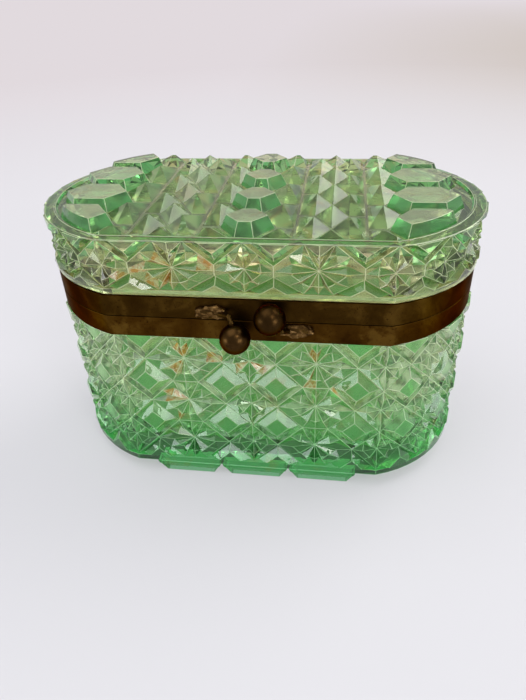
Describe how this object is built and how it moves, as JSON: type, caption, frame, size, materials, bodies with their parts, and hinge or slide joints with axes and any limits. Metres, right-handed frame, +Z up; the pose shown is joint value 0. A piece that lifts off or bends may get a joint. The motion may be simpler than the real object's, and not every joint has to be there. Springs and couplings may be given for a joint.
{
  "type": "glass casket box",
  "caption": "Pressed-glass casket box with bowed ends, daisy-and-button faceting, brass bands hinged at the back and a ball-ended snap clasp at the front",
  "frame": {"origin": "on the ground under the middle of the box's bounding box, clasp balls and hinge included", "axes": "+X along the long side to the right, +Y to the back where the hinge is, +Z up"},
  "size_m": [0.1514, 0.1012, 0.1008],
  "materials": {
    "green_glass": "pale green pressed glass, cut-like facets outside, smooth inside",
    "brass": "old sheet brass, dark brown patina with golden worn places",
    "cement": "dull pale plaster cement, hidden between glass and brass"
  },
  "bodies": {
    "base": {"base_glass": "green_glass", "base_cement": "cement", "base_band": "brass", "base_knuckle_left": "brass", "base_knuckle_middle": "brass", "base_knuckle_right": "brass", "hinge_pin": "brass", "base_clasp_arm": "brass", "base_clasp_ball": "brass"},
    "lid": {"lid_glass": "green_glass", "lid_cement": "cement", "lid_band": "brass", "lid_knuckle_left": "brass", "lid_knuckle_right": "brass", "lid_clasp_arm": "brass", "lid_clasp_ball": "brass"}
  },
  "joints": [
    {"name": "lid_hinge", "type": "hinge", "parent": "base", "child": "lid", "pos_m": [0, 0.04838, 0.07125], "axis": [-1, 0, 0], "range_deg": [0, 105]}
  ]
}
